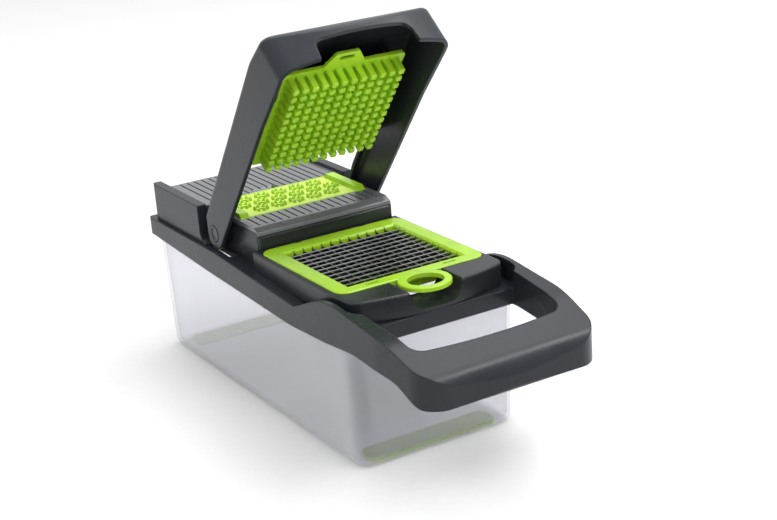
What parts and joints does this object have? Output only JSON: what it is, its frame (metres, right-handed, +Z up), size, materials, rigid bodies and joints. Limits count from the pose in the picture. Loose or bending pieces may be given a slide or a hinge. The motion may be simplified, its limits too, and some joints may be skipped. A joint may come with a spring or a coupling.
{
  "type": "vegetable dicer",
  "caption": "Hand-pressed vegetable dicer: clear tub, lift-off frame with loop handle, hinged lid with pusher posts, lift-out blade grid and grating insert.",
  "frame": {"origin": "under the middle of the whole object with the lid stored part open, on the surface it stands on", "axes": "+Z up, -Y towards the loop handle, +X to the right seen from the handle"},
  "size_m": [0.123, 0.359, 0.25],
  "materials": {
    "clear_plastic": "clear, glossy",
    "grey_abs": "satin",
    "deck_grey": "satin",
    "lime_green": "glossy",
    "pale_green": "satin",
    "pad_green": "matt",
    "steel": "brushed",
    "pin_grey": "satin"
  },
  "bodies": {
    "container": {"container_tub": "clear_plastic", "base_pad_front": "pad_green", "base_pad_rear": "pad_green"},
    "top_frame": {"frame_shell": "grey_abs", "cutting_platform": "grey_abs", "rear_housing": "grey_abs", "slicing_deck": "deck_grey", "step_riser": "grey_abs", "hinge_pin_left": "pin_grey", "hinge_pin_right": "pin_grey"},
    "dicing_insert": {"dicing_frame_upper": "lime_green", "dicing_frame_lower": "lime_green", "blades_crosswise": "steel", "blades_lengthwise": "steel"},
    "grater_insert": {"grater_frame": "lime_green", "grater_plate": "pale_green", "grater_teeth": "lime_green"},
    "lid": {"lid_shell": "grey_abs"},
    "pusher": {"pusher_plate": "lime_green", "pusher_posts": "lime_green"}
  },
  "joints": [
    {"name": "frame_lift", "type": "slide", "parent": "container", "child": "top_frame", "axis": [0, 0, 1], "range_m": [0, 0.08]},
    {"name": "dicing_lift", "type": "slide", "parent": "top_frame", "child": "dicing_insert", "axis": [0, 0, 1], "range_m": [0, 0.03]},
    {"name": "grater_lift", "type": "slide", "parent": "top_frame", "child": "grater_insert", "axis": [0, 0, 1], "range_m": [0, 0.025]},
    {"name": "lid_hinge", "type": "hinge", "parent": "top_frame", "child": "lid", "pos_m": [0, 0.0775, 0.1063], "axis": [-1, 0, 0], "range_deg": [-50.5, 43]},
    {"name": "pusher_pull", "type": "slide", "parent": "lid", "child": "pusher", "axis": [0, -0.7716, -0.6361], "range_m": [0, 0.012]}
  ]
}
